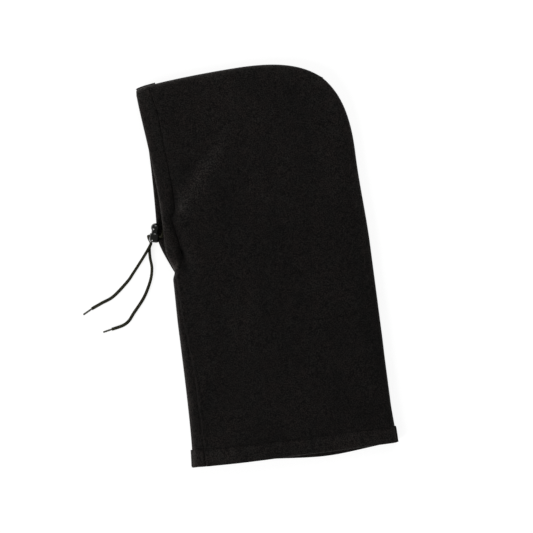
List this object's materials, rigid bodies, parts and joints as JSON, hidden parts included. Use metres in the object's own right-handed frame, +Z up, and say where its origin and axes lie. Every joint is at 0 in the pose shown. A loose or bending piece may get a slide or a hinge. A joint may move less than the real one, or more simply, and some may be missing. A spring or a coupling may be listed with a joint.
{
  "type": "balaclava",
  "caption": "Fleece balaclava hood laid flat, with a drawcord face opening, a ball cord lock, two cord tails and a hemmed neck that folds up.",
  "frame": {"origin": "on the table under the middle of the flattened neck, where the hem's folded edge leaves the table", "axes": "+X from the face opening to the back of the head, +Y from the hem to the crown, +Z up off the table, towards the wearer's left side"},
  "size_m": [0.3419, 0.4576, 0.0209],
  "materials": {
    "fleece": "black brushed micro-fleece, matte with a soft short pile",
    "thread": "black spun polyester sewing thread",
    "cord": "black round braided polyester cord with a faint olive cast",
    "lock_plastic": "glossy black moulded acetal",
    "aglet_plastic": "dark grey crimped plastic film, semi-matte",
    "spring_steel": "plain drawn spring wire"
  },
  "bodies": {
    "hood": {"left_hood_panel": "fleece", "right_hood_panel": "fleece", "left_face_casing": "fleece", "right_face_casing": "fleece", "crown_seam_allowance": "fleece", "chin_seam_allowance": "fleece", "left_casing_stitching": "thread", "right_casing_stitching": "thread", "left_eyelet": "thread", "right_eyelet": "thread", "drawcord": "cord", "chin_bar_tack": "thread"},
    "neck": {"left_neck_panel": "fleece", "right_neck_panel": "fleece", "left_hem": "fleece", "right_hem": "fleece", "front_neck_seam": "fleece", "back_neck_seam": "fleece", "left_hem_stitching": "thread", "right_hem_stitching": "thread"},
    "cord_lock": {"cord_lock_barrel": "lock_plastic", "cord_lock_spring": "spring_steel", "cord_strands": "cord"},
    "plunger": {"cord_lock_plunger": "lock_plastic"},
    "left_tail": {"left_cord_tail": "cord", "left_aglet": "aglet_plastic"},
    "right_tail": {"right_cord_tail": "cord", "right_aglet": "aglet_plastic"}
  },
  "joints": [
    {"name": "neck_fold", "type": "hinge", "parent": "hood", "child": "neck", "pos_m": [0, 0.118, 0.0175], "axis": [-1, 0, 0], "range_deg": [0, 172]},
    {"name": "drawcord_pull", "type": "slide", "parent": "hood", "child": "cord_lock", "axis": [-0.9732, 0.23, 0], "range_m": [0, 0.012]},
    {"name": "plunger_press", "type": "slide", "parent": "cord_lock", "child": "plunger", "axis": [-0.23, -0.9732, 0], "range_m": [0, 0.0015], "stiffness_N_per_m": 900, "springref_m": -0.002, "deforming": ["cord_lock_spring"]},
    {"name": "left_tail_swing", "type": "hinge", "parent": "cord_lock", "child": "left_tail", "pos_m": [-0.1336, 0.2675, 0.0046], "axis": [0, 0, 1], "range_deg": [-35, 6]},
    {"name": "right_tail_swing", "type": "hinge", "parent": "cord_lock", "child": "right_tail", "pos_m": [-0.1336, 0.2675, 0.0015], "axis": [0, 0, 1], "range_deg": [-6, 20]}
  ]
}
